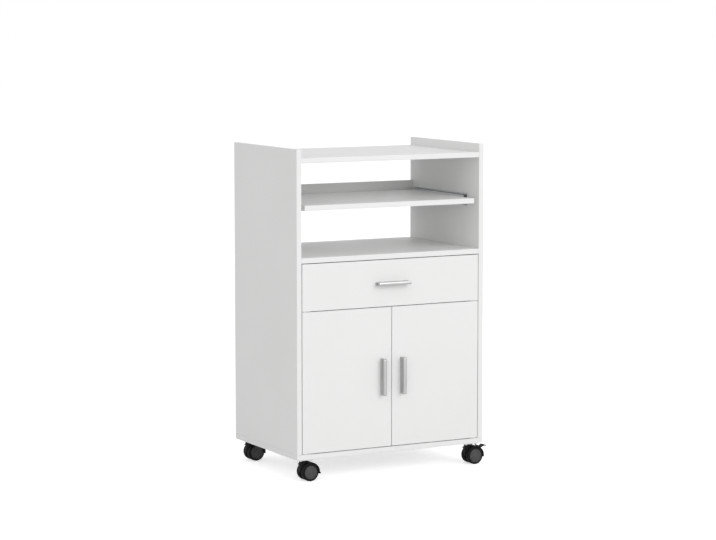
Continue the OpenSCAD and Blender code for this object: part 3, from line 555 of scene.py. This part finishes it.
def rounded_board(name, low, high, radius):
    """Corner centre plus radius times the sphere's normal, each octant at its own corner."""
    low, high = np.array(low), np.array(high)
    steps = np.linspace(0, pi / 2, BAND_STEPS + 1)
    polar = np.concatenate([steps, steps + pi / 2])
    turn = np.concatenate([steps + quarter * pi / 2 for quarter in range(4)])
    upper = np.repeat([1, -1], BAND_STEPS + 1)[:, None]
    east = np.repeat([1, -1, -1, 1], BAND_STEPS + 1)[None, :]
    north = np.repeat([1, 1, -1, -1], BAND_STEPS + 1)[None, :]
    out, up = np.sin(polar)[:, None], np.cos(polar)[:, None]
    normal = np.stack([out * np.cos(turn), out * np.sin(turn), up * np.ones_like(turn)], axis=-1)
    side = np.stack(np.broadcast_arrays(east, north, upper), axis=-1)
    points = (low + high) / 2 + side * ((high - low) / 2 - radius) + radius * normal
    rows, columns = points.shape[:2]
    top = np.arange(4) * (BAND_STEPS + 1)
    bottom = top + (rows - 1) * columns
    faces = np.concatenate([grid_faces(rows, columns), [top[::-1], bottom]])
    board = make_piece(name, points, faces, NO_SHARP_EDGES)
    settle_normals(board.data)
    return board


for solid, body in (("left_door", "left_door"), ("right_door", "right_door"),
                    ("drawer_front", "drawer"), ("pull_out_shelf", "shelf"),
                    ("cupboard_shelf", "cabinet")):
    board = rounded_board(solid + "_board", *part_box(solid), BAND_RADIUS)
    dress(board, white_laminate, body, "white_laminate", solid)
    print(board.name, len(board.data.polygons), "faces")

# %% [markdown]
# ## The carcass boards
#
# The boards that don't move have holes and grooves inside, which show once the doors stand open, so
# their shape is taken from the solids. A copy of each is merged into whole faces, and only its
# twelve outer edges are rounded, as the banding of the real boards is. Where two boards meet flush,
# the two small roundings leave the fine line that shows above the bottom board on the cart's side.

# %% Boards with holes
CARCASS_RADIUS = 1.2 * MM
CARCASS_STEPS = 3
ON_BOX = 0.01 * MM
FLAT_WITHIN = radians(0.5)


def merged_copy(solid):
    """The solid's loose triangles, joined and merged into whole flat faces."""
    build = bmesh.new()
    build.from_mesh(nodes[solid].data)
    bmesh.ops.remove_doubles(build, verts=build.verts, dist=SAME_POINT)
    bmesh.ops.dissolve_limit(build, angle_limit=FLAT_WITHIN, verts=build.verts, edges=build.edges)
    return build


def finished_copy(name, build):
    """The worked copy as an object, with faces of more than four corners cut up."""
    bmesh.ops.triangulate(build, faces=[face for face in build.faces if len(face.verts) > 4])
    mesh = bpy.data.meshes.new(name)
    build.to_mesh(mesh)
    build.free()
    mesh.shade_smooth()
    settle_normals(mesh)
    piece = bpy.data.objects.new(name, mesh)
    bpy.context.scene.collection.objects.link(piece)
    return piece


def along_box_edge(edge, low, high):
    """True where both ends lie on the same two faces of the box."""
    shared = 0
    for axis in range(3):
        for face in (low[axis], high[axis]):
            shared += all(abs(vertex.co[axis] - face) < ON_BOX for vertex in edge.verts)
    return shared == 2


def rounded_copy(name, build, rim, **bevel):
    """The build with the edges of its rim cut back in round steps, as a finished object."""
    before = build.calc_volume()
    bmesh.ops.bevel(build, geom=rim, profile=0.5, affect="EDGES", **bevel)
    kept = round(build.calc_volume() / before, 4)
    print(name, len(rim), "edges rounded, volume kept", kept)
    return finished_copy(name, build)


def banded_copy(name, solid):
    """The solid's own faces, with each edge of its box cut back in a quarter circle."""
    low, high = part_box(solid)
    build = merged_copy(solid)
    rim = [edge for edge in build.edges if along_box_edge(edge, low, high)]
    return rounded_copy(name, build, rim, offset=CARCASS_RADIUS, segments=CARCASS_STEPS,
                        clamp_overlap=True)


for solid in ("left_side_panel", "right_side_panel", "top_board", "niche_floor_board",
              "bottom_board", "rear_rail"):
    board = banded_copy(solid + "_banded", solid)
    dress(board, white_laminate, "cabinet", "white_laminate", solid)

# %% [markdown]
# ## Screws and cams with a driver's cross
#
# A driver has to find hold in every screw and cam, so each round head has a cross pressed into it,
# and only the long base screws have a socket for a hex key, which their solids already show. The
# cross could be painted on as a dark mark, but a real recess catches light on its walls from any
# side. Each flat round face is taken out, twelve points of a plus sign are set in its middle, the
# ring between is filled again, and a smaller plus sign further in becomes the floor.

# %% Cross recesses
CROSS_ARM, CROSS_HALF_WIDTH, CROSS_DEPTH = 0.6, 0.15, 0.35
CROSS_FLOOR = 0.7
ROUND_CORNERS = 12
ROUND_WITHIN = 0.02 * MM
CAM_HEAD, SCREW_HEAD = 5 * MM, 2.7 * MM


def round_faces(build, least):
    """The flat faces whose corners all lie equally far, and at least least, from the middle."""
    found = []
    for face in build.faces:
        middle = face.calc_center_median()
        reach = [(vertex.co - middle).length for vertex in face.verts]
        even = max(reach) - min(reach) < ROUND_WITHIN
        if len(reach) > ROUND_CORNERS and min(reach) > least and even:
            found.append((face, middle, min(reach)))
    return found


def press_cross(build, face, middle, reach):
    """A plus sign with arms of CROSS_ARM * reach, sunk by CROSS_DEPTH * reach, its floor smaller."""
    normal = face.normal.copy()
    first = (face.verts[0].co - middle).normalized()
    second = normal.cross(first)
    arm, half = CROSS_ARM * reach, CROSS_HALF_WIDTH * reach
    plus = [(arm, -half), (arm, half), (half, half), (half, arm), (-half, arm), (-half, half),
            (-arm, half), (-arm, -half), (-half, -half), (-half, -arm), (half, -arm), (half, -half)]
    spokes = [first * x + second * y for x, y in plus]
    sunk = middle - normal * CROSS_DEPTH * reach
    top = [build.verts.new(middle + spoke) for spoke in spokes]
    floor = [build.verts.new(sunk + CROSS_FLOOR * spoke) for spoke in spokes]
    rim = [build.edges.new((top[k - 1], top[k])) for k in range(len(plus))]
    outline = list(face.edges)
    bmesh.ops.delete(build, geom=[face], context="FACES_ONLY")
    bmesh.ops.triangle_fill(build, edges=outline + rim, use_beauty=True, normal=normal)
    for k in range(len(plus)):
        build.faces.new((top[k - 1], top[k], floor[k], floor[k - 1]))
    build.faces.new(floor)


def crossed_copy(name, solid, least):
    """The solid's merged copy with a cross in every round face of at least that radius."""
    build = merged_copy(solid)
    heads = round_faces(build, least)
    for face, middle, reach in heads:
        press_cross(build, face, middle, reach)
    bmesh.ops.recalc_face_normals(build, faces=build.faces)
    print(name, len(heads), "crosses pressed")
    return finished_copy(name, build)


for solid, body, least in (("cam_fittings", "cabinet", CAM_HEAD),
                           ("hardware_screws", "cabinet", SCREW_HEAD),
                           ("left_handle_screws", "left_door", SCREW_HEAD),
                           ("right_handle_screws", "right_door", SCREW_HEAD),
                           ("drawer_screws", "drawer", SCREW_HEAD),
                           ("shelf_screws", "shelf", SCREW_HEAD)):
    slot = slot_of[solid]
    dress(crossed_copy(solid + "_crossed", solid, least), finish_of_slot[slot], body, slot, solid)

# %% [markdown]
# ## Handles
#
# Each handle is a slim cast pull of satin silver: a narrow bar that stands well out from its front,
# with a crowned face and a shallow scoop along each flank for the fingertips. It is one section
# repeated at stations along its length. The section is drawn as numbers, flank by flank, and near
# both ends the stations drop in a quarter circle, so no separate end pieces are needed.

# %% Pull surface
HANDLE_LENGTH = 105 * MM
HANDLE_WIDTH = 9 * MM
HANDLE_OUT = 23 * MM
FRONT_CORNER = 4 * MM
CROWN = 10 * MM
SCOOP_RADIUS, SCOOP_DEPTH, SCOOP_OUT = 16 * MM, 1.5 * MM, 8 * MM
EDGE_ROUND = 1.2 * MM
FLANK_POINTS, EDGE_POINTS, FRONT_POINTS = 36, 8, 7
BEND_STATIONS, MIDDLE_STATIONS = 16, 9
PULL_SMOOTH_ANGLE = 50


def pull_section():
    """(across, out): up a flank less the scoop's circle, round the edge, along the crown's circle.

    The second half is the first one mirrored.
    """
    half_width, edge = HANDLE_WIDTH / 2, EDGE_ROUND
    up = np.linspace(0, HANDLE_OUT - edge, FLANK_POINTS)
    circle = np.sqrt(np.maximum(SCOOP_RADIUS**2 - (up - SCOOP_OUT)**2, 0))
    scoop = circle - (SCOOP_RADIUS - SCOOP_DEPTH)
    flank = np.stack([half_width - np.maximum(scoop, 0), up], axis=1)
    turn = np.linspace(0, pi / 2, EDGE_POINTS)[1:]
    rounded = np.stack([half_width - edge + edge * np.cos(turn),
                        HANDLE_OUT - edge + edge * np.sin(turn)], axis=1)
    front = np.linspace(half_width - edge, 0, FRONT_POINTS)[1:]
    face = np.stack([front, np.full_like(front, HANDLE_OUT)], axis=1)
    half = np.concatenate([flank, rounded, face])
    crown = HANDLE_OUT - CROWN + np.sqrt(CROWN**2 - half[:, 0]**2)
    half[:, 1] = np.minimum(half[:, 1], crown)
    return np.concatenate([half, half[-2::-1] * [-1, 1]])


def pull_surface():
    """The section at each station, scaled by a quarter circle and drawn in near both ends."""
    section, half = pull_section(), HANDLE_LENGTH / 2
    rise = np.sin(np.linspace(0, pi / 2, BEND_STATIONS))
    bend = half - FRONT_CORNER * (1 - rise)
    middle = np.linspace(FRONT_CORNER - half, half - FRONT_CORNER, MIDDLE_STATIONS)[1:-1]
    along = np.concatenate([-bend[::-1], middle, bend])[:, None]
    past_bend = np.maximum(np.abs(along) - (half - FRONT_CORNER), 0)
    drop = FRONT_CORNER - np.sqrt(np.maximum(FRONT_CORNER**2 - past_bend**2, 0))
    past_edge = np.maximum(np.abs(along) - (half - EDGE_ROUND), 0)
    inset = EDGE_ROUND - np.sqrt(np.maximum(EDGE_ROUND**2 - past_edge**2, 0))
    out = section[None, :, 1] * (HANDLE_OUT - drop) / HANDLE_OUT
    across = np.sign(section[:, 0]) * np.maximum(np.abs(section[:, 0]) - inset, 0)
    return np.broadcast_to(along, out.shape), out, across


def pull_handle(name, foot, upright):
    """The pull with its foot on the front's face, lying along X or standing along Z."""
    along, out, across = pull_surface()
    local = (across, -out, along) if upright else (along, -out, across)
    return closed_tube(name, np.stack(local, axis=-1) + np.array(foot), PULL_SMOOTH_ANGLE)


for solid, body, upright in (("left_door_handle", "left_door", True),
                             ("right_door_handle", "right_door", True),
                             ("drawer_handle", "drawer", False)):
    low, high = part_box(solid)
    foot = ((low.x + high.x) / 2, high.y, (low.z + high.z) / 2)
    pull = pull_handle(solid + "_pull", foot, upright)
    dress(pull, upright_silver if upright else satin_silver, body, "satin_silver", solid)
    print(pull.name, len(pull.data.polygons), "faces")

# %% [markdown]
# ## Wheels
#
# A caster wheel is a lathe part: one profile turned about the axle. The tyre is black with rounded
# shoulders and a shallow line round its middle, and a dark grey disc with raised rings closes its
# outer side. Modelling them as two turned profiles keeps their two colours apart without any
# painted border.

# %% Wheel profiles
WHEEL_RADIUS = 25 * MM
WHEEL_WIDTH = 16.5 * MM
SHOULDER = 3.2 * MM
BORE_RADIUS, BORE_DEPTH = 3.05 * MM, 12 * MM
LINE_DEPTH = 0.35 * MM
DISC_SEAT = WHEEL_WIDTH - 0.9 * MM
TURN_STEPS = 96


def arc(centre, radius, start, end, rows=8):
    """Centre plus radius times (cos, sin), from one angle in degrees to the other."""
    angle = np.radians(np.linspace(start, end, rows))
    return np.array(centre) + radius * np.stack([np.cos(angle), np.sin(angle)], axis=1)


def turned(name, profile, centre, way):
    """Each (radius, height) turned about Y: centre + height * way + radius * (cos, sin)."""
    turn = np.linspace(0, 2 * pi, TURN_STEPS + 1)[:-1]
    radius, height = profile[:, :1], profile[:, 1:]
    points = np.stack([radius * np.cos(turn), way * height * np.ones_like(turn),
                       radius * np.sin(turn)], axis=-1)
    return make_piece(name, points + np.array(centre), grid_faces(len(profile), TURN_STEPS))


def tyre_profile():
    """From the bore's end, out along the dished inner face, over both shoulders, to the seat."""
    r, w, s, line = WHEEL_RADIUS, WHEEL_WIDTH, SHOULDER, LINE_DEPTH
    middle, dish = w / 2, 0.8 * MM
    return np.concatenate([
        [(0, BORE_DEPTH), (BORE_RADIUS, BORE_DEPTH), (BORE_RADIUS, 0)],
        [(8 * MM, 0), (8.6 * MM, dish), (20 * MM, dish), (20.6 * MM, 0)],
        arc((r - s, s), s, -90, 0),
        [(r, middle - 2 * line), (r - line, middle - line),
         (r - line, middle + line), (r, middle + 2 * line)],
        arc((r - s, w - s), s, 0, 82),
        [(20.2 * MM, w - 0.1 * MM), (19.2 * MM, DISC_SEAT), (0, DISC_SEAT)],
    ])


def disc_profile():
    """From the back over the raised rim, into the sunk ring, and over field and groove to the hub."""
    w = WHEEL_WIDTH
    return np.concatenate([
        [(0, DISC_SEAT), (19.1 * MM, DISC_SEAT)],
        arc((18.6 * MM, w - 0.35 * MM), 0.5 * MM, -10, 90, 6),
        arc((17.0 * MM, w - 0.35 * MM), 0.5 * MM, 90, 180, 6),
        [(16.3 * MM, w - 0.7 * MM)],
        arc((15.6 * MM, w - 0.3 * MM), 0.4 * MM, 180, 90, 5),
        [(9.6 * MM, w + 0.35 * MM), (9.1 * MM, w - 0.1 * MM)],
        [(8.3 * MM, w - 0.1 * MM), (8.0 * MM, w + 0.3 * MM)],
        arc((0, w - 31.6 * MM), 32.4 * MM, 76, 90, 8),
    ])


for corner in CORNERS:
    for place in ("outer", "inner"):
        wheel = f"{corner}_{place}_wheel"
        low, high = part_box(wheel)
        axle = joints[wheel + "_spin"]["pos_m"]
        hub = joints[corner + "_swivel"]["pos_m"][1]
        way = 1 if axle[1] > hub else -1
        centre = (axle[0], low.y if way > 0 else high.y, axle[2])
        tyre = turned(wheel + "_tyre", tyre_profile(), centre, way)
        dress(tyre, black_tread, wheel, "dark_grey_tread", wheel)
        disc = turned(wheel + "_disc", disc_profile(), centre, way)
        dress(disc, dark_grey_disc, wheel, "dark_grey_tread")
print("8 wheels turned")

# %% [markdown]
# ## Hoods and levers with eased edges
#
# A moulded part has no knife edges, because the plastic doesn't fill them. A Bevel modifier would
# cut back every edge, but the short ones where two curves cross would fold over. So only the edges
# with room beside them are rounded, and they catch a thin line of light.

# %% Moulded edges
MOULD_RADIUS = 0.5 * MM
MOULD_STEPS = 2
SHARP_ANGLE = radians(40)
ROOM = 2.2 * MOULD_RADIUS


def is_sharp(edge):
    """True where two faces meet outwards at more than SHARP_ANGLE."""
    return edge.is_manifold and edge.is_convex and edge.calc_face_angle() > SHARP_ANGLE


def edges_with_room(build):
    """The sharp edges whose smooth neighbours are all longer than ROOM."""
    sharp = {edge for edge in build.edges if is_sharp(edge)}
    return [edge for edge in build.edges if edge in sharp and all(
        other in sharp or other.calc_length() > ROOM
        for vertex in edge.verts for other in vertex.link_edges)]


def moulded_copy(name, solid):
    """The solid's own faces, with each roomy sharp edge cut back by MOULD_RADIUS."""
    build = merged_copy(solid)
    return rounded_copy(name, build, edges_with_room(build), offset=MOULD_RADIUS,
                        segments=MOULD_STEPS)


moulded = [(corner + "_hood", corner + "_fork") for corner in CORNERS]
moulded += [(corner + "_brake_lever", corner + "_brake") for corner in BRAKED_CORNERS]
for solid, body in moulded:
    dress(moulded_copy(solid + "_moulded", solid), black_plastic, body, "black_plastic", solid)

# %% [markdown]
# ## Grip ribs on the brake levers
#
# A foot finds the brake by its ribs. They are small round bars, half sunk across the blade's tip,
# so a circle carried across the blade is all they need.

# %% Brake ribs
RIB_RADIUS = 0.7 * MM
RIB_COUNT, RIB_PITCH, RIB_SIDES = 4, 2.6 * MM, 16
RIB_FROM_TIP = 1.6 * MM
RIB_MARGIN, RIB_TAPER = MM, 0.4 * MM
BLADE_TOP = 50.5 * MM
BLADE_RISE = 2 / 9


def grip_ribs(name, solid):
    """Bars along Y: a circle at each rib, repeated across the blade and closed at both ends."""
    low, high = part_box(solid)
    turn = np.linspace(0, 2 * pi, RIB_SIDES + 1)[:-1]
    start, end = low.y + RIB_MARGIN, high.y - RIB_MARGIN
    across = np.array([start, start + RIB_TAPER, end - RIB_TAPER, end])[:, None]
    size = np.array([0.5, 1.0, 1.0, 0.5])[:, None] * RIB_RADIUS
    parts, quads = [], []
    for index in range(RIB_COUNT):
        from_tip = RIB_FROM_TIP + index * RIB_PITCH
        ring = np.stack([high.x - from_tip + size * np.cos(turn), across * np.ones_like(turn),
                         BLADE_TOP + BLADE_RISE * from_tip + size * np.sin(turn)], axis=-1)
        caps = [np.repeat(ring[k:k + 1].mean(axis=1, keepdims=True), RIB_SIDES, axis=1)
                for k in (0, -1)]
        ring = np.concatenate([caps[0], ring, caps[1]])
        quads.append(grid_faces(len(ring), RIB_SIDES, first=index * len(ring) * RIB_SIDES))
        parts.append(ring.reshape(-1, 3))
    return make_piece(name, np.concatenate(parts), np.concatenate(quads))


for corner in BRAKED_CORNERS:
    solid = corner + "_brake_lever"
    dress(grip_ribs(solid + "_ribs", solid), black_plastic, corner + "_brake", "black_plastic")

# %% [markdown]
# ## Floor, light and background
#
# The photograph is a cut-out on white. The floor takes the cart's shadow like any pale floor, and
# adds a plain glow, so that it reads as white. The camera sees all of that glow, mirror-like
# surfaces see less of it, and none of it lights the cart. A broad lamp stands to the front right,
# which makes the fronts brighter than the left side panel. A larger and weaker one stands to the
# front left, and the world fills the shade.

# %% Floor and world
FLOOR_GLOW = 0.6
MIRRORED_GLOW = 0.25
ROOM_LIGHT = 0.64
FLOOR_HALF = 30.0
PALE_GREY = (0.82, 0.82, 0.82, 1)
DARKER_GREY = (0.8, 0.8, 0.8, 1)
KEY_WATTS, FILL_WATTS = 188, 110
LAMP_TARGET = (0, 0, 0.5)


def seen_directly(tree):
    """1 for a camera ray, a glossy ray or a ray through glass, and 0 for diffuse light."""
    path = tree.nodes.new("ShaderNodeLightPath")
    seen = maths(tree, "MAXIMUM", path.outputs["Is Camera Ray"], path.outputs["Is Glossy Ray"])
    return maths(tree, "MAXIMUM", seen, path.outputs["Is Transmission Ray"])


def make_floor():
    """A flat square at the height of the wheels' lowest point."""
    half = FLOOR_HALF
    corners = [(-half, -half, 0), (half, -half, 0), (half, half, 0), (-half, half, 0)]
    mesh = bpy.data.meshes.new("floor")
    mesh.from_pydata(corners, [], [(0, 1, 2, 3)])
    floor = bpy.data.objects.new("floor", mesh)
    bpy.context.scene.collection.objects.link(floor)
    material, tree, skin = new_material("pale_floor")
    grain = spread(tree, noise(tree, 30.0), *NOISE_RANGE)
    fill(tree, skin, Base_Color=blend(tree, grain, PALE_GREY, DARKER_GREY),
         Roughness=0.9, Specular_IOR_Level=0.1)
    direct = tree.nodes.new("ShaderNodeLightPath").outputs["Is Camera Ray"]
    share = spread(tree, direct, 0.0, 1.0, MIRRORED_GLOW, FLOOR_GLOW)
    strength = maths(tree, "MULTIPLY", seen_directly(tree), share)
    glow = add(tree, "ShaderNodeEmission", Strength=strength)
    both = add(tree, "ShaderNodeAddShader", i0=skin.outputs[0], i1=glow.outputs[0])
    fill(tree, tree.nodes["Material Output"], Surface=both.outputs[0])
    paint(floor, material)


def make_world():
    """White where it is seen, and an even room light everywhere else."""
    world = bpy.data.worlds.new("studio")
    bpy.context.scene.world = world
    world.use_nodes = True
    tree = world.node_tree
    strength = spread(tree, seen_directly(tree), 0.0, 1.0, ROOM_LIGHT, 1.0)
    fill(tree, tree.nodes["Background"], Color=(1, 1, 1, 1), Strength=strength)


def area_lamp(name, place, size, watts):
    """A square soft light at place that faces the cart's middle."""
    data = bpy.data.lights.new(name, "AREA")
    data.size = size
    data.energy = watts
    lamp = bpy.data.objects.new(name, data)
    aim = (Vector(LAMP_TARGET) - Vector(place)).to_track_quat("-Z", "Y").to_matrix().to_4x4()
    lamp.matrix_world = Matrix.Translation(place) @ aim
    bpy.context.scene.collection.objects.link(lamp)


make_floor()
make_world()
area_lamp("key", (2.2, -7.5, 3.6), 4.0, KEY_WATTS)
area_lamp("fill", (-5.0, -6.0, 4.4), 8.0, FILL_WATTS)
bpy.context.scene.view_settings.view_transform = "Standard"
